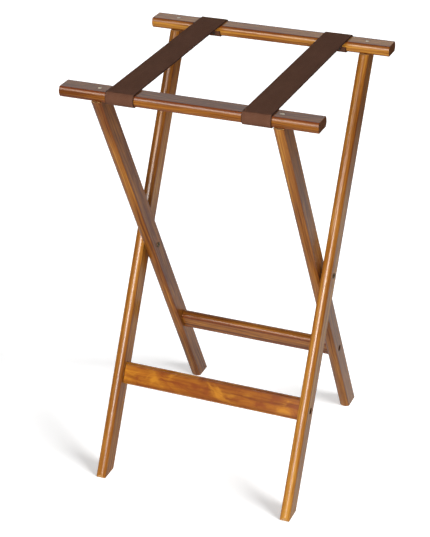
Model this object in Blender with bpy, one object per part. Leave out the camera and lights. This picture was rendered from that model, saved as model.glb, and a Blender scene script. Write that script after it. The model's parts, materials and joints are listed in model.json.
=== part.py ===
"""A folding strap-top rack: two hinged frames of bullnosed flat bar, with two straps between their rails.

Metres, +Z up, front towards -Y. The origin is on the floor, at the middle of the footprint.
The outer frame leans from the front feet back to the back rail and stands still. The inner
frame leans from the back feet forward to the front rail, and swings on two pivots.
"""

import math

import bmesh
import bpy
from mathutils import Matrix, Vector

# Overall size
HEIGHT = 0.787
RAIL_LENGTH = 0.470
RAIL_Y = 0.1915  # each rail's centre line, from the middle
FOOT_Y = 0.2075  # each leg's centre line where it meets the floor
TOE_Y = 0.2264  # the small upright facet that blunts each foot's sharp toe

# The flat bar that the legs and rails are cut from, and the one for the stretchers
BAR_WIDTH = 0.040
BAR_THICKNESS = 0.019
STRETCHER_WIDTH = 0.0425
STRETCHER_THICKNESS = 0.0175
CROWN = 0.004  # how far each rounded edge bulges past its two shoulders

# Where the legs and the stretchers sit
OUTER_LEG_X = 0.1875
INNER_LEG_X = 0.1655
FRONT_STRETCHER_Z = 0.1755
REAR_STRETCHER_Z = 0.1785

# Straps
STRAP_WIDTH = 0.053
STRAP_THICKNESS = 0.002
STRAP_X = {"left": -0.120, "right": 0.1275}
TACK_SPACING = 0.028
TACK_DROP = math.radians(18)  # below the rail's mid height, seen from the crown's centre

# Hardware. Heads and shanks are (radius, length)
RAIL_SCREW_HEAD = (0.0034, 0.0026)
RAIL_SCREW_SHANK = (0.0018, 0.038)
STRETCHER_SCREW_HEAD = (0.0048, 0.0030)
STRETCHER_SCREW_SHANK = (0.0021, 0.044)
COUNTERBORE = (0.0062, 0.0075)
PIVOT_HEAD = (0.0050, 0.0018)
PIVOT_SCREW_SHANK = (0.0022, 0.033)
PIVOT_SLEEVE = (0.0034, 0.0365)
SPACER_RADIUS = 0.0090
TACK_HEAD = (0.0026, 0.0008)
TACK_SHANK = (0.0008, 0.009)

GAP = 0.0003  # clearance between pieces that touch
ARC_STEPS = 8
ROUND_STEPS = 20
SHARP_ANGLE = math.radians(32)
QUARTER = math.pi / 2
PAST = 0.003  # how far a cutter runs out past the face that it enters

# What follows from these
LEG_TOP_Z = HEIGHT - BAR_THICKNESS
RUN = RAIL_Y + FOOT_Y
LEAN = math.atan2(RUN, LEG_TOP_Z)
PIVOT_Z = LEG_TOP_Z * FOOT_Y / RUN
RAIL_Z = HEIGHT - BAR_THICKNESS / 2
HALF_WIDTH = BAR_WIDTH / 2
HALF_THICKNESS = BAR_THICKNESS / 2
SHOULDER = HALF_WIDTH - CROWN
LEG_GAP = OUTER_LEG_X - INNER_LEG_X - BAR_THICKNESS
SIDES = {"left": -1, "right": 1}


def crown_shape(width, thickness):
    """The arc that rounds a bar's edge: its radius, how far out its centre is, and half its angle."""
    radius = (thickness**2 / 4 + CROWN**2) / (2 * CROWN)
    return radius, width / 2 - radius, math.asin(thickness / 2 / radius)


CROWN_RADIUS, CROWN_CENTRE, CROWN_ANGLE = crown_shape(BAR_WIDTH, BAR_THICKNESS)


def clear_scene():
    for obj in list(bpy.data.objects):
        bpy.data.objects.remove(obj, do_unlink=True)


def material(name, colour, roughness, metallic=0.0):
    made = bpy.data.materials.new(name)
    made.use_nodes = True
    shader = made.node_tree.nodes["Principled BSDF"]
    shader.inputs["Base Color"].default_value = (*colour, 1)
    shader.inputs["Roughness"].default_value = roughness
    shader.inputs["Metallic"].default_value = metallic
    return made


def placed(made, place, parent):
    """Gives an object its world matrix at rest. Every parent is an unrotated empty."""
    bpy.context.collection.objects.link(made)
    made.matrix_basis = place
    if parent:
        made.parent = parent
        made.matrix_parent_inverse = Matrix.Translation(-parent.location)
    return made


def axis_empty(name, location, parent=None):
    return placed(bpy.data.objects.new(name, None), Matrix.Translation(location), parent)


def piece(name, bm, finish, place, parent):
    bmesh.ops.recalc_face_normals(bm, faces=bm.faces)
    mesh = bpy.data.meshes.new(name)
    bm.to_mesh(mesh)
    bm.free()
    mesh.shade_smooth()
    mesh.set_sharp_from_angle(angle=SHARP_ANGLE)
    if finish:
        mesh.materials.append(finish)
    return placed(bpy.data.objects.new(name, mesh), place, parent)


def drill(targets, name, profile, place, parent):
    """Cuts one turned hole into each of the targets."""
    cutter = piece(name, turned(profile), None, place, parent)
    cutter.hide_render = True
    cutter.display_type = "WIRE"
    for target in targets:
        cut = target.modifiers.new(name, "BOOLEAN")
        cut.operation = "DIFFERENCE"
        cut.solver = "EXACT"
        cut.object = cutter


def turned(profile):
    """A solid of revolution about Z. The profile of (radius, z) starts and ends on the axis."""
    bm = bmesh.new()
    rings = []
    turns = [2 * math.pi * step / ROUND_STEPS for step in range(ROUND_STEPS)]
    for radius, z in profile:
        if radius == 0:
            rings.append([bm.verts.new((0, 0, z))] * ROUND_STEPS)
        else:
            rings.append([bm.verts.new((radius * math.cos(a), radius * math.sin(a), z)) for a in turns])
    for low, high in zip(rings, rings[1:]):
        for step in range(ROUND_STEPS):
            after = (step + 1) % ROUND_STEPS
            corners = [low[step], low[after], high[after], high[step]]
            bm.faces.new(list(dict.fromkeys(corners)))
    return bm


def extruded(outline, low, high):
    """A prism along Z. The outline is a list of (x, y)."""
    bm = bmesh.new()
    section = bm.faces.new([bm.verts.new((x, y, low)) for x, y in outline])
    grown = bmesh.ops.extrude_face_region(bm, geom=[section])["geom"]
    moved = [part for part in grown if isinstance(part, bmesh.types.BMVert)]
    bmesh.ops.translate(bm, verts=moved, vec=(0, 0, high - low))
    return bm


def arc(centre, radius, start, end):
    """Points on an arc in a plane, from one angle to another."""
    angles = [start + (end - start) * step / ARC_STEPS for step in range(ARC_STEPS + 1)]
    return [(centre[0] + radius * math.cos(a), centre[1] + radius * math.sin(a)) for a in angles]


def bar(low, high, width=BAR_WIDTH, thickness=BAR_THICKNESS):
    """A length of bar along Z: its thickness lies along X and its width along Y."""
    radius, centre, angle = crown_shape(width, thickness)
    crown = arc((centre, 0), radius, -angle, angle)
    outline = crown + [(-across, -through) for across, through in crown]
    return extruded([(through, across) for across, through in outline], low, high)


def saw_off(bm, point, normal):
    """Removes what lies beyond a plane, and caps the cut."""
    whole = bm.verts[:] + bm.edges[:] + bm.faces[:]
    made = bmesh.ops.bisect_plane(
        bm, geom=whole, dist=1e-7, plane_co=point, plane_no=normal, clear_outer=True
    )
    rim = [part for part in made["geom_cut"] if isinstance(part, bmesh.types.BMEdge)]
    bmesh.ops.edgeloop_fill(bm, edges=rim)


def make_leg(name, x, lean, finish, parent):
    """A leg that leans back from its foot by lean. It is cut level at the floor and under the rail."""
    place = Matrix.Translation((x, 0, PIVOT_Z)) @ Matrix.Rotation(-lean, 4, "X")
    to_local = place.inverted()
    toe = -math.copysign(1, lean)  # the way that the foot points along Y
    bm = bar(-HEIGHT, HEIGHT)
    for point, normal in (
        ((x, 0, 0), (0, 0, -1)),
        ((x, 0, LEG_TOP_Z - GAP), (0, 0, 1)),
        ((x, toe * TOE_Y, 0), (0, toe, 0)),
    ):
        saw_off(bm, to_local @ Vector(point), to_local.to_3x3() @ Vector(normal))
    return piece(name, bm, finish, place, parent)


def make_rail(name, y, finish, parent):
    place = Matrix.Translation((0, y, RAIL_Z)) @ Matrix.Rotation(QUARTER, 4, "Y")
    return piece(name, bar(-RAIL_LENGTH / 2, RAIL_LENGTH / 2), finish, place, parent)


def make_stretcher(name, z, lean, half_length, finish, parent):
    """A wider, thinner bar between two legs, in the middle of their width and turned to their lean."""
    y = (z - PIVOT_Z) * math.tan(lean)
    turn = Matrix.Rotation(QUARTER - lean, 4, "X") @ Matrix.Rotation(QUARTER, 4, "Y")
    place = Matrix.Translation((0, y, z)) @ turn
    bm = bar(-half_length, half_length, STRETCHER_WIDTH, STRETCHER_THICKNESS)
    return piece(name, bm, finish, place, parent)


def domed(head):
    """The rounded top of a screw's head, seated at the origin."""
    radius, height = head
    return [(radius, 0), (radius, 0.4 * height), (0.8 * radius, 0.8 * height), (0, height)]


def pointed(shank):
    """A screw's shank down from the origin, from its point up to its cylinder."""
    radius, length = shank
    return [(0, -length), (radius, 3 * radius - length)]


def join_rail(names, legs, rail, x, y, finish, parent):
    """Countersunk screws down through a rail into the tops of its legs."""
    radius = RAIL_SCREW_SHANK[0]
    head_radius, head_depth = RAIL_SCREW_HEAD
    profile = pointed(RAIL_SCREW_SHANK) + [(radius, -head_depth), (head_radius, 0), (0, 0)]
    hole = [(0, -RAIL_SCREW_SHANK[1] - GAP)]
    hole += [(reach + GAP, z) for reach, z in profile[1:-1]]
    hole += [(head_radius + GAP, PAST), (0, PAST)]
    for side, name in names.items():
        place = Matrix.Translation((SIDES[side] * x, y, HEIGHT))
        piece(name, turned(profile), finish, place, parent)
        drill([rail, legs[side]], name + "_hole", hole, place, parent)


def join_stretcher(names, legs, stretcher, x, finish, parent):
    """Screws at the bottom of counterbores, in through the legs to a stretcher's ends."""
    radius = STRETCHER_SCREW_SHANK[0]
    bore_radius, bore_depth = COUNTERBORE
    profile = pointed(STRETCHER_SCREW_SHANK) + [(radius, 0)] + domed(STRETCHER_SCREW_HEAD)
    hole = [(0, -STRETCHER_SCREW_SHANK[1] - GAP), (radius + GAP, profile[1][1]), (radius + GAP, -GAP)]
    hole += [(bore_radius, -GAP), (bore_radius, bore_depth + PAST), (0, bore_depth + PAST)]
    _, y, z = stretcher.matrix_basis.translation
    for side, name in names.items():
        seat = SIDES[side] * (x + HALF_THICKNESS - bore_depth)
        turn = Matrix.Rotation(SIDES[side] * QUARTER, 4, "Y")
        place = Matrix.Translation((seat, y, z)) @ turn
        piece(name, turned(profile), finish, place, parent)
        drill([stretcher, legs[side]], name + "_hole", hole, place, parent)


def make_pivot(side, outer_leg, inner_leg, finish, spacer_finish, parent):
    """A screw from inside, a sleeve nut from outside and a spacer, all on the joint's axis."""
    sign = SIDES[side]
    screw_radius, screw_length = PIVOT_SCREW_SHANK
    sleeve_radius, sleeve_length = PIVOT_SLEEVE
    bore = screw_radius + GAP
    outward = Matrix.Rotation(sign * QUARTER, 4, "Y")
    inward = Matrix.Rotation(-sign * QUARTER, 4, "Y")

    def at(x):
        return Matrix.Translation((sign * x, 0, PIVOT_Z))

    screw = [(0, -screw_length), (screw_radius, -screw_length), (screw_radius, 0)] + domed(PIVOT_HEAD)
    inner_face = INNER_LEG_X - HALF_THICKNESS - GAP
    piece(f"pivot_screw_{side}", turned(screw), finish, at(inner_face) @ inward, parent)

    nut = [(0, -GAP), (bore, -GAP), (bore, -sleeve_length), (sleeve_radius, -sleeve_length)]
    nut += [(sleeve_radius, 0)] + domed(PIVOT_HEAD)
    outer_face = OUTER_LEG_X + HALF_THICKNESS + GAP
    piece(f"pivot_barrel_nut_{side}", turned(nut), finish, at(outer_face) @ outward, parent)

    clear = sleeve_radius + GAP
    half = LEG_GAP / 2 - GAP
    bm = turned([(0, -half), (SPACER_RADIUS, -half), (SPACER_RADIUS, half), (0, half)])
    middle = (OUTER_LEG_X + INNER_LEG_X) / 2
    spacer = piece(f"pivot_spacer_{side}", bm, spacer_finish, at(middle) @ outward, parent)
    hole = [(0, -BAR_WIDTH), (clear, -BAR_WIDTH), (clear, BAR_WIDTH), (0, BAR_WIDTH)]
    drill([spacer, outer_leg, inner_leg], f"pivot_hole_{side}", hole, at(middle) @ outward, parent)


def round_rail(distance):
    """The strap's path at a distance from the rail, as (outward, up) from the rail's centre.

    It runs over the top to the outer edge, back underneath, and halfway up the inner edge.
    """
    level = HALF_THICKNESS + distance
    edge = CROWN_RADIUS + distance
    path = [(-HALF_WIDTH, level)]
    path += arc((SHOULDER, HALF_THICKNESS), distance, QUARTER, CROWN_ANGLE)
    path += arc((CROWN_CENTRE, 0), edge, CROWN_ANGLE, -CROWN_ANGLE)[1:-1]
    path += arc((SHOULDER, -HALF_THICKNESS), distance, -CROWN_ANGLE, -QUARTER)
    path += arc((-SHOULDER, -HALF_THICKNESS), distance, -QUARTER, CROWN_ANGLE - 2 * QUARTER)
    path += arc((-CROWN_CENTRE, 0), edge, CROWN_ANGLE - 2 * QUARTER, -2 * QUARTER)[1:]
    return path


def make_strap_end(strap, end, rail, webbing, steel, frame, span_axis):
    """One strap's wrap, its half of the free span and its two tacks, at one rail."""
    outward = -1 if end == "front" else 1
    x = STRAP_X[strap]
    half = STRAP_WIDTH / 2
    name = f"{strap}_strap_{end}"
    # Local X is world Y times outward, local Y is up and local Z runs along the rail
    upright = Matrix(((0, 0, outward, 0), (outward, 0, 0, 0), (0, 1, 0, 0), (0, 0, 0, 1)))
    place = Matrix.Translation((x, outward * RAIL_Y, RAIL_Z)) @ upright
    outline = round_rail(GAP) + round_rail(GAP + STRAP_THICKNESS)[::-1]
    wrap = piece(name + "_wrap", extruded(outline, -half, half), webbing, place, frame)

    near, far = -HALF_WIDTH - GAP, -RAIL_Y + GAP / 2
    low = HALF_THICKNESS + GAP
    flat = [(near, low), (far, low), (far, low + STRAP_THICKNESS), (near, low + STRAP_THICKNESS)]
    piece(name + "_span", extruded(flat, -half, half), webbing, place, span_axis)

    radius, length = TACK_SHANK
    tack = [(0, -length), (radius, 3 * radius - length), (radius, 0)] + domed(TACK_HEAD)
    hole = [(0, -length - GAP), (radius + GAP, tack[1][1]), (radius + GAP, PAST), (0, PAST)]
    reach = CROWN_RADIUS + STRAP_THICKNESS + 2 * GAP
    y = outward * (RAIL_Y - CROWN_CENTRE - reach * math.cos(TACK_DROP))
    z = RAIL_Z - reach * math.sin(TACK_DROP)
    turn = Matrix.Rotation(outward * (QUARTER + TACK_DROP), 4, "X")
    for number, step in ((1, -TACK_SPACING / 2), (2, TACK_SPACING / 2)):
        seat = Matrix.Translation((x + step, y, z)) @ turn
        piece(f"{name}_tack_{number}", turned(tack), steel, seat, frame)
        drill([rail, wrap], f"{name}_tack_hole_{number}", hole, seat, frame)


def build():
    clear_scene()
    wood = material("varnished_wood", (0.36, 0.15, 0.045), 0.3)
    webbing = material("brown_webbing", (0.060, 0.032, 0.025), 0.7)
    bright_steel = material("bright_steel", (0.75, 0.70, 0.60), 0.35, 1.0)
    dark_steel = material("dark_steel", (0.10, 0.09, 0.08), 0.4, 1.0)
    antique_brass = material("antique_brass", (0.30, 0.24, 0.15), 0.4, 1.0)
    nylon = material("black_nylon", (0.02, 0.02, 0.02), 0.5)

    outer_frame = axis_empty("outer_frame", (0, 0, 0))
    inner_frame = axis_empty("inner_frame", (0, 0, PIVOT_Z), outer_frame)
    hinge_y = RAIL_Y - HALF_WIDTH - GAP
    span_axes = {
        "front": axis_empty("front_span_axis", (0, -hinge_y, HEIGHT + GAP), inner_frame),
        "back": axis_empty("back_span_axis", (0, hinge_y, HEIGHT + GAP), outer_frame),
    }

    outer_legs, inner_legs = {}, {}
    for side, sign in SIDES.items():
        outer_legs[side] = make_leg(f"outer_{side}_leg", sign * OUTER_LEG_X, LEAN, wood, outer_frame)
        inner_legs[side] = make_leg(f"inner_{side}_leg", sign * INNER_LEG_X, -LEAN, wood, inner_frame)
        make_pivot(side, outer_legs[side], inner_legs[side], antique_brass, nylon, outer_frame)

    rails = {
        "front": make_rail("front_top_rail", -RAIL_Y, wood, inner_frame),
        "back": make_rail("back_top_rail", RAIL_Y, wood, outer_frame),
    }
    outer_reach = OUTER_LEG_X - HALF_THICKNESS - GAP
    inner_reach = INNER_LEG_X - HALF_THICKNESS - GAP
    front = make_stretcher("front_stretcher", FRONT_STRETCHER_Z, LEAN, outer_reach, wood, outer_frame)
    rear = make_stretcher("rear_stretcher", REAR_STRETCHER_Z, -LEAN, inner_reach, wood, inner_frame)

    def named(start):
        return {side: f"{start}_{side}" for side in SIDES}

    for end, legs, x, y, frame in (
        ("front", inner_legs, INNER_LEG_X, -RAIL_Y, inner_frame),
        ("back", outer_legs, OUTER_LEG_X, RAIL_Y, outer_frame),
    ):
        join_rail(named(f"{end}_rail_screw"), legs, rails[end], x, y, bright_steel, frame)
    join_stretcher(named("front_stretcher_screw"), outer_legs, front, OUTER_LEG_X, dark_steel, outer_frame)
    join_stretcher(named("rear_stretcher_screw"), inner_legs, rear, INNER_LEG_X, dark_steel, inner_frame)

    for strap in SIDES:
        for end, frame in (("front", inner_frame), ("back", outer_frame)):
            make_strap_end(strap, end, rails[end], webbing, dark_steel, frame, span_axes[end])


build()
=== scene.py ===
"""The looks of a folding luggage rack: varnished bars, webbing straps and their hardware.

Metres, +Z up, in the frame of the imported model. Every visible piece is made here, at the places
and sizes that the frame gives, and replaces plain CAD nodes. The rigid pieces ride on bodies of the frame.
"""

import json
import math

import bmesh
import bpy
from mathutils import Matrix, Vector, noise


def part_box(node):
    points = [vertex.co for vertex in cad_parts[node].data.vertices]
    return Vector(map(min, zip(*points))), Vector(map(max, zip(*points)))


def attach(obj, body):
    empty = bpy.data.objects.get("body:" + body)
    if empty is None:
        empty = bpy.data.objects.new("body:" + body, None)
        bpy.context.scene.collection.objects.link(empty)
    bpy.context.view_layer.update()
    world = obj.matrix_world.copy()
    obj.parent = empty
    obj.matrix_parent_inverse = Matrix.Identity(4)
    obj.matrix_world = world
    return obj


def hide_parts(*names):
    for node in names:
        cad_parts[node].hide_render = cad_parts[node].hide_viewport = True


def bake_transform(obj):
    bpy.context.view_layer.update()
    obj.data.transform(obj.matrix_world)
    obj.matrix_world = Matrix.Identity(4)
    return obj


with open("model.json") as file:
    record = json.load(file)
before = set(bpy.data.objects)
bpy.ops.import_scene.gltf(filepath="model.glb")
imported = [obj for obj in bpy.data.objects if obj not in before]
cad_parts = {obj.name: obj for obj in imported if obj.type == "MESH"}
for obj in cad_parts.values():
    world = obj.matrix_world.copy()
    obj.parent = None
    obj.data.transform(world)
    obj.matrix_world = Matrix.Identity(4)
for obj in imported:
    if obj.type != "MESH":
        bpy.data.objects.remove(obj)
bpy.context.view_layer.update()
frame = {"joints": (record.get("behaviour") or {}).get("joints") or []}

QUARTER = math.pi / 2
SIDES = {"left": -1, "right": 1}  # each side's sign in X
ENDS = {"front": -1, "back": 1}  # each end's sign in Y


def size(node):
    low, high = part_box(node)
    return high - low


def middle(node):
    low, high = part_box(node)
    return (low + high) / 2


# Places and sizes that the frame gives
JOINTS = {joint["name"]: Vector(joint["pos_m"]) for joint in frame["joints"]}
RAIL_LENGTH, BAR_WIDTH, BAR_THICKNESS = size("back_top_rail")
_, RAIL_Y, RAIL_Z = middle("back_top_rail")
HEIGHT = RAIL_Z + BAR_THICKNESS / 2
PIVOT_Z = JOINTS["fold"].z
LEG_TOP_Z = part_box("outer_left_leg")[1].z
TOE_Y = -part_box("outer_left_leg")[0].y
LEAN = math.atan2(RAIL_Y, HEIGHT - BAR_THICKNESS - PIVOT_Z)
STRAP_WIDTH = size("left_strap_front_wrap").x

# The flat bars' sections
CROWN = 0.004  # how far each rounded edge bulges past its two shoulders
SHOULDER_EASE = 0.0013  # the radius where a rounded edge meets a flat
END_EASE = 0.0008  # the sanding round a sawn end


class Section:
    """A flat bar's section: two flats, two crowned edges, and a small ease where they meet."""

    def __init__(self, width, thickness):
        self.thickness = thickness
        self.inner = thickness / 2 - SHOULDER_EASE
        self.radius = ((thickness / 2) ** 2 + CROWN**2) / (2 * CROWN)
        self.centre = width / 2 - self.radius
        self.angle = math.asin(self.inner / (self.radius - SHOULDER_EASE))
        self.ease = self.centre + (self.radius - SHOULDER_EASE) * math.cos(self.angle)


STRETCHER_WIDTH = 0.0425
STRETCHER_THICKNESS = 0.0175
LEG = Section(BAR_WIDTH, BAR_THICKNESS)
STRETCHER = Section(STRETCHER_WIDTH, STRETCHER_THICKNESS)

# Straps
STRAP_GAP = 0.0003  # between a strap and its rail
STRAP_THICKNESS = 0.0020
STRAP_STEP = 0.003
STRAP_ROWS = 22
RIPPLE = 0.00012  # how unevenly the strap's outer side lies
RIPPLE_ACROSS, RIPPLE_ALONG, RIPPLE_STRAP, RIPPLE_START = 60, 45, 3, 7.0  # its place in the noise

# Hardware. Heads are (radius, height) and shanks are (radius, length)
RAIL_SCREW_HEAD = (0.0034, 0.0026)
RAIL_SCREW_SHANK = (0.0018, 0.038)
STRETCHER_SCREW_HEAD = (0.0048, 0.0030)
STRETCHER_SCREW_SHANK = (0.0021, 0.044)
COUNTERBORE = (0.0062, 0.0075)
PIVOT_HEAD = (0.0050, 0.0018)
PIVOT_SCREW_SHANK = (0.0022, 0.033)
PIVOT_SLEEVE = (0.0034, 0.0365)
PIVOT_CLEARANCE = 0.0002  # between a pivot screw's head and the leg that turns against it
THREAD_CLEARANCE = 0.0002  # between a pivot's screw and its nut
NUT_BOTTOM = 0.5  # the flat at the bottom of its bore, as a share of the bore
SPACER_RADIUS = 0.0090
SPACER_EASE = 0.3  # its bevel, as a share of half its thickness
RIM_SHARE = 0.3  # how much of a domed head's height is its upright rim
TAPER = 3  # the length of a screw's or tack's point, in radii of its shank
TACK_HEAD = (0.0026, 0.0008)
TACK_SHANK = (0.0008, 0.009)
TACK_SPACING = 0.028
TACK_DROP = math.radians(18)  # below the rail's mid height, seen from the crown's centre
SUNK = 0.00025  # how far a rail screw's head lies below the wood
HOLE_EASE = 0.0005  # how much wider than the head its hole opens
BORE_EASE = 0.0003  # the sanding round a counterbore
CROSS = (0.62, 0.16, 0.0013)  # a cross recess: reach and half width as shares of the head, depth
CROSS_TAPER = 0.45  # its reach at the bottom, as a share of that at the top
RAIL_TWISTS = (0.5, 1.2)  # how far the left and right crosses are turned, in radians
STRETCHER_TWISTS = (0.3, 1.2)
PIVOT_TWIST = 0.4
TIP = 0.1  # the flat in the middle of a screw's or tack's end, as a share of its shank's radius
GRAIN_SHIFT = Vector((0.31, 0.17, 0.73))  # sets each bar elsewhere in the grain's pattern
GAP = 0.0003  # between faces that would otherwise touch
PAST = 0.003  # how far a cutter runs out past the face that it enters

# How much lighter or darker than the rest each bar is, at its foot or left end and at its other
# end: partly the bar's own colour and partly painted shade for the light that it gets. Most of the
# change comes near the other end, as TONE_AND_SHADE_BEND says; at a leg's top it is painted shade
# under the rails
TONE_AND_SHADE_BEND = 3
BAR_TONES_AND_SHADE = {
    "outer_left_leg": (-0.03, -0.08), "outer_right_leg": (0.08, -0.12),
    "inner_left_leg": (-0.16, -0.24), "inner_right_leg": (-0.08, -0.12),
    "front_top_rail": (-0.25, -0.23), "back_top_rail": (-0.04, 0.00),
    "front_stretcher": (0.00, -0.20), "rear_stretcher": (-0.22, -0.16),
}

# Mesh
ARC_STEPS = 14
EASE_STEPS = 4
END_STEPS = 3
DOME_STEPS = 9
SELVEDGE_STEPS = 6
ROUND_STEPS = 48
SHARP_ANGLE = math.radians(38)
STRAP_SHARP_ANGLE = math.radians(60)
SAME_PLACE = 1e-6  # points nearer to each other than this count as one
END_FACE = 0.4  # a bar's face is a sawn end where its normal points this much along the bar


# ------------------------------------------------------------------ materials


class Finish:
    """A material, with short calls that add nodes to it."""

    def __init__(self, name, **settings):
        self.material = bpy.data.materials.new(name)
        self.material.use_nodes = True
        self.nodes = self.material.node_tree.nodes
        self.surface = self.nodes["Principled BSDF"]
        for socket, value in settings.items():
            self.plug(self.surface.inputs[socket.replace("_", " ")], value)

    def plug(self, socket, value):
        if isinstance(value, bpy.types.NodeSocket):
            self.material.node_tree.links.new(value, socket)
        else:
            socket.default_value = (*value, 1) if socket.type == "RGBA" and len(value) == 3 else value

    def add(self, kind, inputs, output=0, **settings):
        """Adds a node, with values or links for its inputs, and returns one of its outputs."""
        node = self.nodes.new("ShaderNode" + kind)
        for name, value in settings.items():
            setattr(node, name, value)
        for socket, value in inputs.items():
            self.plug(node.inputs[socket], value)
        return node.outputs[output]

    def attribute(self, name):
        return self.add("Attribute", {}, "Vector", attribute_name=name)

    def parts(self, vector):
        self.add("SeparateXYZ", {0: vector})
        return self.nodes[-1].outputs

    def scaled(self, vector, scale):
        return self.add("VectorMath", {0: vector, 1: scale}, operation="MULTIPLY")

    def maths(self, operation, first, second=0.0, third=0.0):
        inputs = {0: first, 1: second, 2: third}
        return self.add("Math", inputs, operation=operation)

    def wave(self, value):
        """A sine wave from 0 to 1."""
        return self.maths("MULTIPLY_ADD", self.maths("SINE", value), 0.5, 0.5)

    def noise(self, vector, detail=3.0, roughness=0.5, distortion=0.0):
        inputs = {"Vector": vector, "Scale": 1.0, "Detail": detail}
        inputs.update({"Roughness": roughness, "Distortion": distortion})
        return self.add("TexNoise", inputs, "Fac")

    def span(self, value, low, high, to_low=0.0, to_high=1.0):
        """Takes low to high over to to_low to to_high, smoothly."""
        inputs = {0: value, 1: low, 2: high, 3: to_low, 4: to_high}
        return self.add("MapRange", inputs, interpolation_type="SMOOTHSTEP")

    def ramp(self, value, *stops):
        output = self.add("ValToRGB", {"Fac": value}, "Color")
        elements = self.nodes[-1].color_ramp.elements
        while len(elements) < len(stops):
            elements.new(0.5)
        for element, (position, colour) in zip(elements, stops):
            element.position = position
            element.color = (*colour, 1)
        return output

    def mix(self, share, first, second):
        inputs = {0: share, 6: first, 7: second}
        return self.add("Mix", inputs, 2, data_type="RGBA")

    def colour(self, value):
        self.plug(self.surface.inputs["Base Color"], value)

    def roughness(self, value):
        self.plug(self.surface.inputs["Roughness"], value)

    def bump(self, height, distance):
        normal = self.add("Bump", {"Height": height, "Distance": distance, "Strength": 1.0})
        self.plug(self.surface.inputs["Normal"], normal)


# How fine the wood's patterns are, per metre: through the bar, across it and along it
WANDER, BROAD, STREAKS = (30, 30, 5), (26, 26, 4), (240, 240, 5)
FIBRES, PORES, PEEL = (1500, 1500, 40), (1100, 1100, 60), (260, 260, 160)
BLOTCHES = (38, 38, 20)
RINGS_THROUGH, RINGS_ACROSS = 1500.0, 420.0  # radians per metre
RING_WANDER = 0.030  # how far the rings stray, in metres

# How much each pattern counts in the wood's tone or colour, and the figured wood's extra tone
STREAK_SHARE, FIGURED_STREAK_SHARE, FIGURED_LIFT = 0.84, 0.50, 0.17
BROAD_SHARE, RING_SHARE, FIBRE_SHARE, PORE_SHARE = 0.60, 0.10, 0.14, 0.40
BLOTCH_SHARE = 0.85

# Across a bar, from -1 at one arris to 1 at the other
HEART_OFFSET, HEART_SWAY, HEART_HALF_WIDTH = 0.32, 0.3, (0.08, 0.22)
HEART_SHARE = 0.95

# Metres from an arris, where the stain and painted shade along it begin to fade and where they end
EDGE_STAIN_SHADE_BAND, EDGE_STAIN_SHADE_LINE = (0.0010, 0.0060), (0.0004, 0.0016)

# How deep each bumpy finish is, in metres
VARNISH_RELIEF, SAWN_RELIEF, WEAVE_RELIEF = 0.00003, 0.00012, 0.0003
METAL_RELIEF, MOULDED_RELIEF = 0.00003, 0.00004

VARNISH = {"IOR": 1.12, "Coat_Weight": 1.0, "Coat_Roughness": 0.23, "Coat_IOR": 1.38}
RUBBED_VARNISH = {**VARNISH, "Coat_Roughness": 0.12}
SEALER = {"IOR": 1.2, "Coat_Weight": 0.1, "Coat_Roughness": 0.25, "Coat_IOR": 1.4}

# Stained wood's colours, each trio from dark to light
BROWN_STAIN = ((0.120, 0.031, 0.005), (0.335, 0.120, 0.015), (0.530, 0.240, 0.036))
WARM_STAIN = ((0.170, 0.036, 0.004), (0.410, 0.130, 0.009), (0.560, 0.240, 0.020))
RED_BLOTCH, GOLD_BLOTCH = (0.235, 0.050, 0.007), (0.54, 0.21, 0.014)
HEART = (0.110, 0.028, 0.005)
PORE = (0.10, 0.030, 0.004)
# The arrises' red band and dark line: partly stain, partly painted shade where the crowns turn from the
# light
EDGE_STAIN_SHADE_RED, EDGE_STAIN_SHADE_DARK = (0.180, 0.037, 0.005), (0.075, 0.018, 0.004)


def growth_rings(finish, grain, wander):
    """Waves from 0 to 1. The bar is sawn from beside the heart, so they run along it as long arches."""
    x, y = finish.parts(grain)[:2]
    lift = finish.maths("MULTIPLY_ADD", wander, RING_WANDER, x)
    slope = finish.maths("MULTIPLY", y, RINGS_ACROSS)
    return finish.wave(finish.maths("MULTIPLY_ADD", lift, RINGS_THROUGH, slope))


def add_blotches(finish, colour, grain):
    """Gold and red blotches, where the fibres wave."""
    blotch = finish.noise(finish.scaled(grain, BLOTCHES), detail=3, distortion=0.9)
    colour = finish.mix(finish.span(blotch, 0.48, 0.66, 0.0, BLOTCH_SHARE), colour, GOLD_BLOTCH)
    return finish.mix(finish.span(blotch, 0.47, 0.34, 0.0, BLOTCH_SHARE), colour, RED_BLOTCH)


def add_heart(finish, colour, across, wander):
    """A dark streak that wanders along the bar, off the middle of its width."""
    sway = finish.maths("MULTIPLY_ADD", wander, HEART_SWAY, finish.maths("ADD", across, HEART_OFFSET))
    share = finish.span(finish.maths("ABSOLUTE", sway), *HEART_HALF_WIDTH, HEART_SHARE, 0.0)
    return finish.mix(share, colour, HEART)


def add_edge_stain_and_shade(finish, colour, section, streak, edge_stain_and_shade):
    """Along the four arrises: a red band, and a thin dark line broken in places. Both are partly
    stain and partly painted shade where the crowns turn away from the light.
    """
    beyond = finish.add("VectorMath", {0: section}, operation="ABSOLUTE")
    beyond = finish.add("VectorMath", {0: beyond, 1: (1, 1, 0)}, operation="SUBTRACT")
    beyond = finish.scaled(beyond, (LEG.thickness / 2, LEG.ease, 0))
    distance = finish.add("VectorMath", {0: beyond}, "Value", operation="LENGTH")
    colour = finish.mix(finish.span(distance, *EDGE_STAIN_SHADE_BAND, edge_stain_and_shade, 0.0), colour, EDGE_STAIN_SHADE_RED)
    broken_shade = finish.span(streak, 0.3, 0.7, 0.3 * edge_stain_and_shade, edge_stain_and_shade)
    line = finish.maths("MULTIPLY", finish.span(distance, *EDGE_STAIN_SHADE_LINE, 1.0, 0.0), broken_shade)
    return finish.mix(line, colour, EDGE_STAIN_SHADE_DARK)


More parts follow.
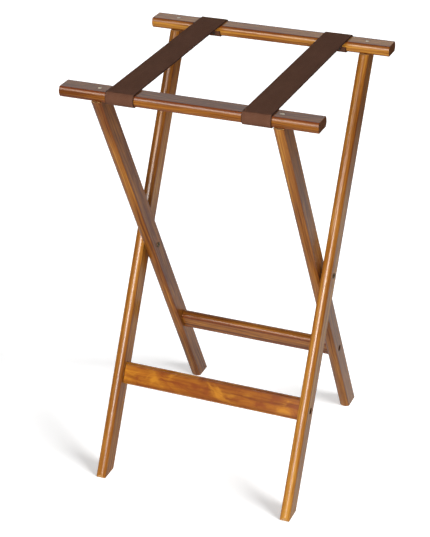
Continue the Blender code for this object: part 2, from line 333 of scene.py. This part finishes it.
def long_grain(name, edge_stain_and_shade=0.28, figured=False, streaked=False):
    """Varnished wood seen along its fibres. The edge_stain_and_shade argument sets how strongly
    stain and painted shade mark its arrises.

    The grain attribute holds the bar's own coordinates. The section attribute holds the place
    across the bar, 1 at the arrises, and the bar's tone: partly its own colour, partly painted shade.
    """
    finish = Finish(name, **(RUBBED_VARNISH if figured else VARNISH))
    grain = finish.attribute("grain")
    section = finish.attribute("section")
    across, tone_and_shade = finish.parts(section)[1:3]
    wander = finish.noise(finish.scaled(grain, WANDER), detail=2)
    broad = finish.noise(finish.scaled(grain, BROAD), detail=3, distortion=0.4)
    streak = finish.noise(finish.scaled(grain, STREAKS), detail=4, roughness=0.6, distortion=0.3)
    fibre = finish.noise(finish.scaled(grain, FIBRES), detail=2)
    pore = finish.span(finish.noise(finish.scaled(grain, PORES), detail=1), 0.63, 0.72)
    peel = finish.noise(finish.scaled(grain, PEEL), detail=1)

    share, lift = (FIGURED_STREAK_SHARE, FIGURED_LIFT) if figured else (STREAK_SHARE, 0.0)
    tone = finish.maths("MULTIPLY_ADD", streak, share, finish.maths("MULTIPLY", broad, BROAD_SHARE))
    tone = finish.maths("ADD", tone, lift)
    tone = finish.maths("MULTIPLY_ADD", growth_rings(finish, grain, wander), RING_SHARE, tone)
    tone = finish.maths("MULTIPLY_ADD", fibre, FIBRE_SHARE, tone)
    tone = finish.maths("ADD", tone, tone_and_shade)
    dark, mid, light = WARM_STAIN if figured else BROWN_STAIN
    colour = finish.ramp(tone, (0.48, dark), (0.80, mid), (1.0, light))
    if figured:
        colour = add_blotches(finish, colour, grain)
    if streaked:
        colour = add_heart(finish, colour, across, wander)
    colour = finish.mix(finish.maths("MULTIPLY", pore, PORE_SHARE), colour, PORE)
    finish.colour(add_edge_stain_and_shade(finish, colour, section, streak, edge_stain_and_shade))

    finish.roughness(finish.span(streak, 0.3, 0.7, 0.32, 0.42))
    height = finish.maths("MULTIPLY_ADD", pore, -0.6, finish.maths("MULTIPLY", fibre, 0.3))
    height = finish.maths("MULTIPLY_ADD", peel, 0.5, height)
    finish.bump(height, VARNISH_RELIEF)
    return finish.material


def end_grain(name, dark, light):
    """The sawn end of a bar: duller, with the growth rings as arcs across it."""
    finish = Finish(name, **SEALER)
    grain = finish.attribute("grain")
    x, y = finish.parts(grain)[:2]
    wander = finish.noise(finish.scaled(grain, (90, 90, 90)), detail=3)
    bow = finish.maths("MULTIPLY", finish.maths("MULTIPLY", y, y), 9.0)
    depth = finish.maths("MULTIPLY_ADD", wander, 0.004, finish.maths("ADD", x, bow))
    ring = finish.wave(finish.maths("MULTIPLY", depth, 2600.0))
    speck = finish.noise(finish.scaled(grain, (2400, 2400, 2400)), detail=2)
    tone = finish.maths("MULTIPLY_ADD", ring, 0.45, finish.maths("MULTIPLY", speck, 0.55))
    finish.colour(finish.ramp(tone, (0.2, dark), (0.8, light)))
    finish.roughness(finish.span(speck, 0.3, 0.7, 0.45, 0.58))
    finish.bump(speck, SAWN_RELIEF)
    return finish.material


WARP_PITCH, WEFT_PITCH = 0.0011, 0.0015
WEB_DARK, WEB_MID, WEB_LIGHT = (0.066, 0.027, 0.014), (0.120, 0.051, 0.029), (0.200, 0.092, 0.056)
# The dark colour towards both edges of the strap: painted shade where its edges stand off the rail
SELVEDGE_SHADE = (0.028, 0.013, 0.009)
SELVEDGE_SHADE_FROM, SELVEDGE_SHADE_TO = STRAP_WIDTH / 2 - 0.0022, STRAP_WIDTH / 2 - 0.0006


def webbing(name):
    """Brown webbing. The weave attribute holds the distance across, the distance along and the side."""
    finish = Finish(name, Specular_IOR_Level=0.06, Sheen_Weight=0.02, Sheen_Roughness=0.5)
    finish.plug(finish.surface.inputs["Sheen Tint"], (0.75, 0.55, 0.45))
    weave = finish.attribute("weave")
    across, along = finish.parts(weave)[:2]

    # Plain weave: each warp yarn goes over where its neighbours go under
    warp = finish.maths("MULTIPLY", across, math.pi / WARP_PITCH)
    yarn = finish.maths("ABSOLUTE", finish.maths("SINE", warp))
    number = finish.maths("FLOOR", finish.maths("DIVIDE", across, WARP_PITCH))
    weft = finish.maths("MULTIPLY", along, math.pi / WEFT_PITCH)
    turn = finish.maths("ADD", weft, finish.maths("MULTIPLY", number, math.pi))
    over = finish.maths("MULTIPLY_ADD", finish.maths("COSINE", turn), 0.5, 0.5)
    pillow = finish.maths("MULTIPLY", yarn, finish.maths("MULTIPLY_ADD", over, 0.7, 0.3))

    fuzz = finish.noise(finish.scaled(weave, (1800, 1800, 1)), detail=3)
    fade = finish.noise(finish.scaled(weave, (60, 18, 1)), detail=3)
    tone = finish.maths("MULTIPLY_ADD", fuzz, 0.4, finish.maths("MULTIPLY_ADD", pillow, 0.5, 0.12))
    tone = finish.maths("MULTIPLY_ADD", fade, 0.26, tone)
    colour = finish.ramp(tone, (0.30, WEB_DARK), (0.62, WEB_MID), (0.98, WEB_LIGHT))
    # Darker towards both edges: painted shade where the strap stands off the rail
    edge = finish.span(finish.maths("ABSOLUTE", across), SELVEDGE_SHADE_FROM, SELVEDGE_SHADE_TO, 0.0, 0.75)
    finish.colour(finish.mix(edge, colour, SELVEDGE_SHADE))
    finish.roughness(finish.span(fuzz, 0.3, 0.7, 0.76, 0.9))
    finish.bump(finish.maths("MULTIPLY_ADD", fuzz, 0.25, pillow), WEAVE_RELIEF)
    return finish.material


def metal(name, clean, worn, roughness, brushing, metallic=1.0):
    """Plated steel or brass: a clean colour with worn and dull patches, and fine scratches."""
    finish = Finish(name, Metallic=metallic)
    place = finish.attribute("grain")
    patch = finish.noise(finish.scaled(place, (420, 420, 420)), detail=4, roughness=0.65)
    scratch = finish.noise(finish.scaled(place, brushing), detail=3, roughness=0.7)
    finish.colour(finish.mix(finish.span(patch, 0.42, 0.66), clean, worn))
    dull = finish.maths("MULTIPLY_ADD", finish.span(patch, 0.35, 0.7), 0.16, roughness)
    finish.roughness(finish.maths("MULTIPLY_ADD", scratch, 0.12, dull))
    finish.bump(scratch, METAL_RELIEF)
    return finish.material


def moulded(name, colour):
    finish = Finish(name, IOR=1.5)
    place = finish.attribute("grain")
    grit = finish.noise(finish.scaled(place, (3000, 3000, 3000)), detail=2)
    finish.colour(finish.mix(grit, [0.7 * value for value in colour], [1.3 * value for value in colour]))
    finish.roughness(finish.span(grit, 0.3, 0.7, 0.42, 0.56))
    finish.bump(grit, MOULDED_RELIEF)
    return finish.material


STAINED_END = end_grain("stained_end_grain", (0.060, 0.015, 0.004), (0.210, 0.070, 0.014))
WORN_END = end_grain("worn_end_grain", (0.330, 0.150, 0.045), (0.560, 0.330, 0.140))
# Darker than the sawn ends: painted shade inside the holes and counterbores
BORE_SHADE = end_grain("bored_wood_shade", (0.045, 0.016, 0.006), (0.110, 0.040, 0.012))
END_SLOT, BORE_SLOT = 1, 2
LEG_WOOD = [long_grain("varnished_leg_grain"), WORN_END, BORE_SHADE]
RAIL_WOOD = [long_grain("varnished_rail_grain", edge_stain_and_shade=0.9), STAINED_END, BORE_SHADE]
FIGURED_WOOD = [long_grain("varnished_figured_grain", edge_stain_and_shade=0.5, figured=True), STAINED_END, BORE_SHADE]
STREAKED_WOOD = [long_grain("varnished_streaked_grain", edge_stain_and_shade=0.8, streaked=True), STAINED_END, BORE_SHADE]
WEBBING = [webbing("woven_brown_webbing")]
BRIGHT = [metal("zinc_plate", (0.95, 0.86, 0.68), (0.80, 0.70, 0.52), 0.16, (3000, 3000, 300), 0.3)]
DARK = [metal("black_oxide", (0.070, 0.064, 0.060), (0.15, 0.13, 0.11), 0.38, (2500, 2500, 300))]
BRASS = [metal("antique_brass_plate", (0.26, 0.20, 0.12), (0.13, 0.10, 0.065), 0.36, (2500, 300, 2500))]
NYLON = [moulded("moulded_nylon", (0.022, 0.021, 0.020))]


# ------------------------------------------------------------------ shapes


def skin(rings):
    """A closed surface over a row of rings, with a face across each end."""
    bm = bmesh.new()
    rows = [[bm.verts.new(point) for point in ring] for ring in rings]
    for low, high in zip(rows, rows[1:]):
        for corner in range(len(low)):
            after = (corner + 1) % len(low)
            bm.faces.new((low[corner], low[after], high[after], high[corner]))
    bm.faces.new(rows[0])
    bm.faces.new(rows[-1])
    bmesh.ops.recalc_face_normals(bm, faces=bm.faces)
    return bm


def turned(profile):
    """A solid of revolution about Z, from its profile of (radius, z)."""
    turns = [2 * math.pi * step / ROUND_STEPS for step in range(ROUND_STEPS)]
    return skin([[(radius * math.cos(a), radius * math.sin(a), z) for a in turns] for radius, z in profile])


def arc(centre, radius, start, end, steps):
    """Points on an arc in a plane, from one angle to another."""
    angles = [start + (end - start) * step / steps for step in range(steps + 1)]
    return [(centre[0] + radius * math.cos(a), centre[1] + radius * math.sin(a)) for a in angles]


def bar(section, low, high):
    """A length of bar along Z: its thickness lies along X and its width along Y."""
    ease, inner, angle = section.ease, section.inner, section.angle
    crown = arc((ease, -inner), SHOULDER_EASE, -QUARTER, -angle, EASE_STEPS)
    crown += arc((section.centre, 0), section.radius, -angle, angle, ARC_STEPS)[1:-1]
    crown += arc((ease, inner), SHOULDER_EASE, angle, QUARTER, EASE_STEPS)
    outline = crown + [(-across, -through) for across, through in crown]
    return skin([[(through, across, z) for across, through in outline] for z in (low, high)])


def saw_off(bm, point, normal):
    """Removes what lies beyond a plane, and caps the cut."""
    whole = bm.verts[:] + bm.edges[:] + bm.faces[:]
    made = bmesh.ops.bisect_plane(
        bm, geom=whole, dist=1e-7, plane_co=point, plane_no=normal, clear_outer=True
    )
    rim = [part for part in made["geom_cut"] if isinstance(part, bmesh.types.BMEdge)]
    bmesh.ops.edgeloop_fill(bm, edges=rim)


def ease_ends(bm):
    """Sands the arrises round a bar's sawn ends."""
    bm.normal_update()
    ends = [face for face in bm.faces if abs(face.normal.z) > END_FACE]
    arrises = list({edge for face in ends for edge in face.edges})
    bmesh.ops.bevel(bm, geom=arrises, offset=END_EASE, segments=END_STEPS, profile=0.5, affect="EDGES")


def domed(head):
    """The rounded top of a head, seated at the origin."""
    radius, height = head
    rim = RIM_SHARE * height
    turns = [QUARTER * step / DOME_STEPS for step in range(DOME_STEPS)]
    return [(radius, 0)] + [(radius * math.cos(a), rim + (height - rim) * math.sin(a)) for a in turns]


def pointed(shank):
    """A shank's point and the foot of its cylinder, below the origin."""
    radius, length = shank
    return [(TIP * radius, -length), (radius, TAPER * radius - length)]


# ------------------------------------------------------------------ pieces


def placed(name, bm, place, materials):
    mesh = bpy.data.meshes.new(name)
    bm.to_mesh(mesh)
    bm.free()
    made = bpy.data.objects.new(name, mesh)
    bpy.context.collection.objects.link(made)
    made.matrix_world = place
    for finish in materials:
        mesh.materials.append(finish)
    return made


def cut(targets, shape, place):
    """Cuts one hole out of each of the targets, and gives it the bored wood, painted dark for the shade
    inside.
    """
    cutter = placed("cutter", shape, place, (None, None, BORE_SHADE))
    for face in cutter.data.polygons:
        face.material_index = BORE_SLOT
    for target in targets:
        hole = target.modifiers.new("hole", "BOOLEAN")
        hole.operation = "DIFFERENCE"
        hole.solver = "EXACT"
        hole.object = cutter
        ready = target.evaluated_get(bpy.context.evaluated_depsgraph_get())
        mesh = bpy.data.meshes.new_from_object(ready)
        for face in mesh.polygons:
            face.material_index = min(face.material_index, len(mesh.materials) - 1)
        target.modifiers.clear()
        target.data = mesh
    bpy.data.objects.remove(cutter, do_unlink=True)


def note(mesh, name, values):
    """Keeps a vector for each vertex, for the materials to read."""
    for value, kept in zip(values, mesh.attributes.new(name, "FLOAT_VECTOR", "POINT").data):
        kept.vector = value


def finished(made, body, number=0):
    """Shades a rigid piece, notes its own coordinates for the materials, and hangs it on its body."""
    mesh = made.data
    mesh.name = made.name
    mesh.shade_smooth()
    mesh.set_sharp_from_angle(angle=SHARP_ANGLE)
    note(mesh, "grain", [vertex.co + number * GRAIN_SHIFT for vertex in mesh.vertices])
    mesh.transform(made.matrix_world)
    made.matrix_world = Matrix.Identity(4)
    smooth = made.modifiers.new("normals", "WEIGHTED_NORMAL")
    smooth.keep_sharp = True
    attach(made, body)
    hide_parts(made["stands_for"])


def piece(node, bm, place, materials):
    """A piece that stands for one CAD node."""
    made = placed(node + "_piece", bm, place, materials)
    made["stands_for"] = node
    return made


def finish_bar(made, section, body, number):
    """Gives a bar's sawn ends their own material, and notes where its arrises run and its tone, painted
    shade included.
    """
    mesh = made.data
    for face in mesh.polygons:
        if face.material_index != BORE_SLOT:
            face.material_index = END_SLOT if abs(face.normal.z) > END_FACE else 0
    first, last = BAR_TONES_AND_SHADE[made["stands_for"]]
    places = [vertex.co for vertex in mesh.vertices]
    low, high = min(place.z for place in places), max(place.z for place in places)
    note(mesh, "section", [
        (
            place.x / (section.thickness / 2),
            place.y / section.ease,
            first + (last - first) * ((place.z - low) / (high - low)) ** TONE_AND_SHADE_BEND,
        )
        for place in places
    ])
    finished(made, body, number)


def make_leg(side, frame_name, lean):
    """A leg, cut level at the floor and under its rail, with a blunted toe."""
    node = f"{frame_name}_{side}_leg"
    x = middle(node).x
    place = Matrix.Translation((x, 0, PIVOT_Z)) @ Matrix.Rotation(-lean, 4, "X")
    to_local = place.inverted()
    toe = -math.copysign(1, lean)
    bm = bar(LEG, -HEIGHT, HEIGHT)
    for spot, normal in (
        ((x, 0, 0), (0, 0, -1)),
        ((x, 0, LEG_TOP_Z), (0, 0, 1)),
        ((x, toe * TOE_Y, 0), (0, toe, 0)),
    ):
        saw_off(bm, to_local @ Vector(spot), to_local.to_3x3() @ Vector(normal))
    ease_ends(bm)
    return piece(node, bm, place, LEG_WOOD)


def make_rail(end):
    node = f"{end}_top_rail"
    place = Matrix.Translation(middle(node)) @ Matrix.Rotation(QUARTER, 4, "Y")
    bm = bar(LEG, -RAIL_LENGTH / 2, RAIL_LENGTH / 2)
    ease_ends(bm)
    return piece(node, bm, place, RAIL_WOOD)


def make_stretcher(node, lean, wood):
    turn = Matrix.Rotation(QUARTER - lean, 4, "X") @ Matrix.Rotation(QUARTER, 4, "Y")
    half_length = size(node).x / 2
    bm = bar(STRETCHER, -half_length, half_length)
    ease_ends(bm)
    return piece(node, bm, Matrix.Translation(middle(node)) @ turn, wood)


def cross_recess(head, twist):
    """A cutter for the cross in a head's top, which is at the origin."""
    radius = head[0]
    length, half, depth = CROSS[0] * radius, CROSS[1] * radius, CROSS[2]
    rings = []
    for z, share in ((PAST, 1.0), (0, 1.0), (-depth, CROSS_TAPER)):
        arm = ((half, -half), (share * length, -half), (share * length, half))
        ring = []
        for quarter in range(4):
            turn = Matrix.Rotation(twist + quarter * QUARTER, 3, "Z")
            ring += [turn @ Vector((a, b, z)) for a, b in arm]
        rings.append(ring)
    return skin(rings)


def join_rail(end, rail, legs, body):
    """Countersunk screws down through a rail into the tops of its legs."""
    radius, length = RAIL_SCREW_SHANK
    head_radius, head_depth = RAIL_SCREW_HEAD
    rim = head_radius + HOLE_EASE
    profile = pointed(RAIL_SCREW_SHANK) + [(radius, -head_depth)]
    profile += [(head_radius, -SUNK), (TIP * radius, -SUNK)]
    hole = [(radius, -length - GAP), (radius + GAP, -head_depth), (head_radius + GAP / 2, 0)]
    hole += [(rim, GAP), (rim, PAST)]
    for number, side in enumerate(SIDES):
        node = f"{end}_rail_screw_{side}"
        x, y, _ = middle(node)
        place = Matrix.Translation((x, y, HEIGHT))
        screw = piece(node, turned(profile), place, BRIGHT)
        top = Matrix.Translation((x, y, HEIGHT - SUNK))
        cut([screw], cross_recess(RAIL_SCREW_HEAD, RAIL_TWISTS[number]), top)
        cut([rail, legs[side]], turned(hole), place)
        finished(screw, body, number)


def join_stretcher(node_start, stretcher, legs, body):
    """Screws at the bottom of counterbores, in through the legs to a stretcher's ends."""
    radius = STRETCHER_SCREW_SHANK[0]
    bore_radius, bore_depth = COUNTERBORE
    profile = pointed(STRETCHER_SCREW_SHANK) + [(radius, 0)] + domed(STRETCHER_SCREW_HEAD)
    hole = [(radius, -STRETCHER_SCREW_SHANK[1] - GAP), (radius + GAP, -GAP), (bore_radius, -GAP)]
    rim = bore_radius + BORE_EASE
    hole += [(bore_radius, bore_depth - BORE_EASE), (rim, bore_depth), (rim, bore_depth + PAST)]
    for number, (side, sign) in enumerate(SIDES.items()):
        node = f"{node_start}_screw_{side}"
        _, y, z = middle(node)
        seat = middle(legs[side]["stands_for"]).x + sign * (BAR_THICKNESS / 2 - bore_depth)
        place = Matrix.Translation((seat, y, z)) @ Matrix.Rotation(sign * QUARTER, 4, "Y")
        screw = piece(node, turned(profile), place, DARK)
        top = place @ Matrix.Translation((0, 0, STRETCHER_SCREW_HEAD[1]))
        cut([screw], cross_recess(STRETCHER_SCREW_HEAD, STRETCHER_TWISTS[number]), top)
        cut([stretcher, legs[side]], turned(hole), place)
        finished(screw, body, number)


def make_pivot(side, outer_leg, inner_leg):
    """A screw from inside, a sleeve nut from outside and a spacer, all on the fold's axis."""
    sign = SIDES[side]
    screw_radius, screw_length = PIVOT_SCREW_SHANK
    sleeve_radius, sleeve_length = PIVOT_SLEEVE
    bore = screw_radius + THREAD_CLEARANCE
    outer_x, inner_x = (abs(middle(leg["stands_for"]).x) for leg in (outer_leg, inner_leg))
    inner_face, outer_face = inner_x - BAR_THICKNESS / 2, outer_x + BAR_THICKNESS / 2

    def at(x, way):
        turn = Matrix.Rotation(way * sign * QUARTER, 4, "Y")
        return Matrix.Translation((sign * x, 0, PIVOT_Z)) @ turn

    screw = [(TIP * screw_radius, -screw_length), (screw_radius, -screw_length), (screw_radius, 0)]
    nut = [(NUT_BOTTOM * bore, -GAP), (bore, -GAP), (bore, -sleeve_length), (sleeve_radius, -sleeve_length)]
    nut += [(sleeve_radius, 0)]
    for kind, profile, x, way in (
        ("screw", screw, inner_face - PIVOT_CLEARANCE, -1),
        ("barrel_nut", nut, outer_face, 1),
    ):
        made = piece(f"pivot_{kind}_{side}", turned(profile + domed(PIVOT_HEAD)), at(x, way), BRASS)
        top = at(x, way) @ Matrix.Translation((0, 0, PIVOT_HEAD[1]))
        cut([made], cross_recess(PIVOT_HEAD, PIVOT_TWIST), top)
        finished(made, "outer_frame")

    half = (outer_x - inner_x - BAR_THICKNESS) / 2 - GAP
    ease = SPACER_EASE * half
    spacer_shape = [(SPACER_RADIUS - ease, -half), (SPACER_RADIUS, ease - half)]
    spacer_shape += [(SPACER_RADIUS, half - ease), (SPACER_RADIUS - ease, half)]
    between = at((outer_x + inner_x) / 2, 1)
    spacer = piece(f"pivot_spacer_{side}", turned(spacer_shape), between, NYLON)
    clear = sleeve_radius + GAP
    hole = [(clear, -BAR_WIDTH), (clear, BAR_WIDTH)]
    cut([spacer, outer_leg, inner_leg], turned(hole), between)
    finished(spacer, "outer_frame")


# ------------------------------------------------------------------ straps


def stations():
    """Where the strap's underside lies on a rail: (outward, up) points with their outward normals.

    They run from the middle of the free span over the rail's top, round its outer edge, back
    underneath and up to the middle of its inner edge.
    """
    spots = []

    def bend(centre, radius, start, end, steps):
        for step in range(steps + 1):
            angle = start + (end - start) * step / steps
            normal = Vector((math.cos(angle), math.sin(angle)))
            spots.append((Vector(centre) + radius * normal, normal))

    def run(start, end, level, normal):
        steps = round(abs(end - start) / STRAP_STEP)
        for step in range(steps):
            spots.append((Vector((start + (end - start) * step / steps, level)), normal))

    ease, inner, angle = LEG.ease, LEG.inner, LEG.angle
    up = Vector((0, 1))
    run(-RAIL_Y, ease, BAR_THICKNESS / 2, up)
    bend((ease, inner), SHOULDER_EASE, QUARTER, angle, EASE_STEPS)
    bend((LEG.centre, 0), LEG.radius, angle, -angle, ARC_STEPS)
    bend((ease, -inner), SHOULDER_EASE, -angle, -QUARTER, EASE_STEPS)
    run(ease, -ease, -BAR_THICKNESS / 2, -up)
    bend((-ease, -inner), SHOULDER_EASE, -QUARTER, angle - math.pi, EASE_STEPS)
    bend((-LEG.centre, 0), LEG.radius, angle - math.pi, -math.pi, ARC_STEPS // 2)
    return [spots[0]] + [b for a, b in zip(spots, spots[1:]) if (b[0] - a[0]).length > SAME_PLACE]


def webbing_section():
    """Half width and thickness as a ring of (across, height): round selvedges and a flat middle."""
    radius = STRAP_THICKNESS / 2
    half = STRAP_WIDTH / 2 - radius
    steps = [-half + 2 * half * step / STRAP_ROWS for step in range(STRAP_ROWS + 1)]
    ring = [(across, STRAP_THICKNESS) for across in steps[1:-1]]
    ring += arc((half, radius), radius, QUARTER, -QUARTER, SELVEDGE_STEPS)
    ring += [(across, 0) for across in steps[-2:0:-1]]
    ring += arc((-half, radius), radius, -QUARTER, -3 * QUARTER, SELVEDGE_STEPS)
    return ring


def strap_rings(x, outward):
    """The webbing's section at each station, each point's place in the weave, and the length."""
    section = webbing_section()
    rings, weave = [], []
    along = 0.0
    layer = RIPPLE_START + RIPPLE_STRAP * x
    spots = stations()
    for number, (spot, normal) in enumerate(spots):
        if number:
            along += (spot - spots[number - 1][0]).length
        ring = []
        for across, height in section:
            spread = Vector((RIPPLE_ACROSS * across, RIPPLE_ALONG * along, layer))
            ripple = RIPPLE * noise.noise(spread)
            out, up = spot + (STRAP_GAP + height + (ripple if height else 0)) * normal
            ring.append((x + across, outward * (RAIL_Y + out), RAIL_Z + up))
            weave.append((across, along, height / STRAP_THICKNESS))
        rings.append(ring)
    return rings, weave, along


def make_strap_end(strap, end):
    """One half of a strap: its wrap round one rail and its half of the free span."""
    outward = ENDS[end]
    start = f"{strap}_strap_{end}"
    x = middle(start + "_wrap").x
    rings, weave, length = strap_rings(x, outward)
    made = placed(start, skin(rings), Matrix.Identity(4), WEBBING)
    mesh = made.data
    mesh.shade_smooth()
    mesh.set_sharp_from_angle(angle=STRAP_SHARP_ANGLE)
    note(mesh, "weave", weave)
    frame_body = "inner_frame" if end == "front" else "outer_frame"
    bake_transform(made)
    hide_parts(start + "_wrap", start + "_span")
    make_tacks(start, x, outward, frame_body)


def make_tacks(start, x, outward, body):
    """Two tacks through a strap's end into the rail's inner edge."""
    reach = LEG.radius + STRAP_GAP + STRAP_THICKNESS
    y = outward * (RAIL_Y - LEG.centre - reach * math.cos(TACK_DROP))
    z = RAIL_Z - reach * math.sin(TACK_DROP)
    turn = Matrix.Rotation(outward * (QUARTER + TACK_DROP), 4, "X")
    profile = pointed(TACK_SHANK) + [(TACK_SHANK[0], 0)] + domed(TACK_HEAD)
    for number, step in ((1, -TACK_SPACING / 2), (2, TACK_SPACING / 2)):
        place = Matrix.Translation((x + step, y, z)) @ turn
        tack = piece(f"{start}_tack_{number}", turned(profile), place, DARK)
        finished(tack, body, number)


# ------------------------------------------------------------------ stage

# The camera looks at AIM. Angles are in degrees, and azimuths run from the front towards the right
LENS = 107.24
AIM = (-0.0390, 0, 0.3700)
CAMERA_AZIMUTH, CAMERA_PITCH, CAMERA_ROLL = 22.95, 27.65, -0.826
CAMERA_DISTANCE = 3.0276

# Each softbox: azimuth, elevation, distance, width, height, power and the height that it faces
GLOSS_LIGHTS = {  # these show in the varnish and leave the wood under it as it is
    "strip": (-1.5, 23, 4.5, 1.40, 1.35, 168, 0.4),
    "fill": (-24, 23, 2.2, 0.70, 0.50, 15, RAIL_Z),
}
SOFT_LIGHTS = {  # these light the wood and don't show in the varnish
    "key": (11, 18, 4.5, 1.8, 1.8, 240, 0.4),
    "right": (95, 20, 3.0, 2.0, 2.0, 2, 0.5),
    "left": (-125, 8, 4.5, 2.5, 2.0, 70, 0.5),
    "back": (165, 6, 4.5, 2.5, 2.0, 90, 0.5),
}
FLOOR_SUN = (77, 15, 42, 10.4)  # azimuth, elevation, spread and strength
SUN_DISTANCE = 3.0

FLOOR_REACH = 8.0
FLOOR_GLOW = 0.52  # makes the floor photograph as white
FLOOR_PALES = (0.72, 0.72, 0.72), (0.76, 0.76, 0.76)
BOUNCE_NEAR, BOUNCE_FAR = (1.0, 0.48), (2.0, 0.05)  # distance, and how pale the rack sees the floor: painted light falloff
WORLD_DIM, WORLD_BACK = 0.10, 0.70
WORLD_BEHIND = (0.1, 0.8)  # the back glow grows between these shares of the way to the back
WORLD_HIGH = (0.50, 0.85)  # and fades between these shares of the way up


def add_camera():
    camera = bpy.data.cameras.new("camera")
    camera.lens = LENS
    made = bpy.data.objects.new("camera", camera)
    bpy.context.collection.objects.link(made)
    turn = Matrix.Rotation(math.radians(CAMERA_AZIMUTH), 4, "Z")
    turn = turn @ Matrix.Rotation(QUARTER - math.radians(CAMERA_PITCH), 4, "X")
    turn = turn @ Matrix.Rotation(math.radians(CAMERA_ROLL), 4, "Z")
    made.matrix_world = Matrix.Translation(AIM) @ turn @ Matrix.Translation((0, 0, CAMERA_DISTANCE))
    bpy.context.scene.camera = made


def direction(azimuth, elevation):
    around, above = math.radians(azimuth), math.radians(elevation)
    level = math.cos(above)
    return Vector((math.sin(around) * level, -math.cos(around) * level, math.sin(above)))


def lamp(name, kind, away, place, power):
    light = bpy.data.lights.new(name, kind)
    light.energy = power
    made = bpy.data.objects.new(name, light)
    bpy.context.collection.objects.link(made)
    made.location = place
    made.rotation_euler = away.to_track_quat("Z", "Y").to_euler()
    made.visible_camera = False
    return made


def softbox(name, azimuth, elevation, distance, width, height, power, aim_z):
    """An area light that faces a point on the rack's middle line."""
    away = direction(azimuth, elevation)
    made = lamp(name, "AREA", away, Vector((0, 0, aim_z)) + distance * away, power)
    made.data.shape = "RECTANGLE"
    made.data.size, made.data.size_y = width, height
    return made


def floor_sun(azimuth, elevation, spread, strength):
    """A wide sun for the floor alone: it throws the feet's soft shadows."""
    away = direction(azimuth, elevation)
    made = lamp("floor_sun", "SUN", away, SUN_DISTANCE * away, strength)
    made.data.angle = math.radians(spread)
    return made


def add_floor():
    """A pale floor with a faint mottle. The rack sees its colour darken with distance: painted light
    falloff, like a lit sweep.
    """
    finish = Finish("pale_floor", Roughness=0.95, Specular_IOR_Level=0.0, Emission_Color=(1, 1, 1))
    place = finish.add("TexCoord", {}, "Object")
    mottle = finish.noise(place, detail=2)
    away = finish.add("VectorMath", {0: place}, "Value", operation="LENGTH")
    bounce = finish.span(away, BOUNCE_NEAR[0], BOUNCE_FAR[0], BOUNCE_NEAR[1], BOUNCE_FAR[1])
    seen = finish.add("LightPath", {}, "Is Camera Ray")
    finish.colour(finish.mix(seen, bounce, finish.mix(mottle, *FLOOR_PALES)))
    finish.plug(finish.surface.inputs["Emission Strength"], finish.maths("MULTIPLY", seen, FLOOR_GLOW))
    bm = bmesh.new()
    corners = [(a * FLOOR_REACH, b * FLOOR_REACH, -GAP) for a, b in ((-1, -1), (1, -1), (1, 1), (-1, 1))]
    bm.faces.new([bm.verts.new(corner) for corner in corners])
    floor = placed("floor", bm, Matrix.Identity(4), [finish.material])
    return floor


def add_world():
    """Dim overhead and in front, pale low down behind, and white where the camera sees it."""
    world = bpy.data.worlds.new("studio")
    world.use_nodes = True
    bpy.context.scene.world = world
    nodes, links = world.node_tree.nodes, world.node_tree.links
    split = nodes.new("ShaderNodeSeparateXYZ")
    links.new(nodes.new("ShaderNodeTexCoord").outputs["Generated"], split.inputs[0])

    def band(axis, limits, levels):
        made = nodes.new("ShaderNodeMapRange")
        made.interpolation_type = "SMOOTHSTEP"
        links.new(split.outputs[axis], made.inputs[0])
        for socket, value in zip(made.inputs[1:5], (*limits, *levels)):
            socket.default_value = value
        return made.outputs[0]

    glow = nodes.new("ShaderNodeMath")
    glow.operation = "MULTIPLY_ADD"
    links.new(band("Y", WORLD_BEHIND, (0.0, WORLD_BACK - WORLD_DIM)), glow.inputs[0])
    links.new(band("Z", WORLD_HIGH, (1.0, 0.0)), glow.inputs[1])
    glow.inputs[2].default_value = WORLD_DIM
    choose = nodes.new("ShaderNodeMix")
    links.new(nodes.new("ShaderNodeLightPath").outputs["Is Camera Ray"], choose.inputs[0])
    links.new(glow.outputs[0], choose.inputs[2])
    choose.inputs[3].default_value = 1.0
    links.new(choose.outputs[0], nodes["Background"].inputs["Strength"])
    nodes["Background"].inputs["Color"].default_value = (1, 1, 1, 1)


def link_floor(light, floor, link_state):
    """Lets a light reach only the floor, or everything but the floor."""
    receivers = bpy.data.collections.new(light.name + "_receivers")
    receivers.objects.link(floor)
    receivers.collection_objects[0].light_linking.link_state = link_state
    light.light_linking.receiver_collection = receivers


def add_stage():
    add_camera()
    floor = add_floor()
    add_world()
    gloss = [softbox(name, *values) for name, values in GLOSS_LIGHTS.items()]
    soft = [softbox(name, *values) for name, values in SOFT_LIGHTS.items()]
    for light in gloss:
        light.visible_diffuse = False
    for light in soft:
        light.visible_glossy = False
    for light in gloss + soft:
        link_floor(light, floor, "EXCLUDE")
    link_floor(floor_sun(*FLOOR_SUN), floor, "INCLUDE")
    bpy.context.scene.view_settings.view_transform = "Standard"


# ------------------------------------------------------------------ the rack


def build():
    outer_legs = {side: make_leg(side, "outer", LEAN) for side in SIDES}
    inner_legs = {side: make_leg(side, "inner", -LEAN) for side in SIDES}
    rails = {end: make_rail(end) for end in ENDS}
    front_stretcher = make_stretcher("front_stretcher", LEAN, FIGURED_WOOD)
    rear_stretcher = make_stretcher("rear_stretcher", -LEAN, STREAKED_WOOD)

    join_rail("front", rails["front"], inner_legs, "inner_frame")
    join_rail("back", rails["back"], outer_legs, "outer_frame")
    join_stretcher("front_stretcher", front_stretcher, outer_legs, "outer_frame")
    join_stretcher("rear_stretcher", rear_stretcher, inner_legs, "inner_frame")
    for side in SIDES:
        make_pivot(side, outer_legs[side], inner_legs[side])

    outer = [*outer_legs.values(), rails["back"], front_stretcher]
    inner = [*inner_legs.values(), rails["front"], rear_stretcher]
    for number, made in enumerate(outer + inner):
        section = STRETCHER if made in (front_stretcher, rear_stretcher) else LEG
        finish_bar(made, section, "outer_frame" if made in outer else "inner_frame", number)
    for strap in SIDES:
        for end in ENDS:
            make_strap_end(strap, end)


build()
add_stage()
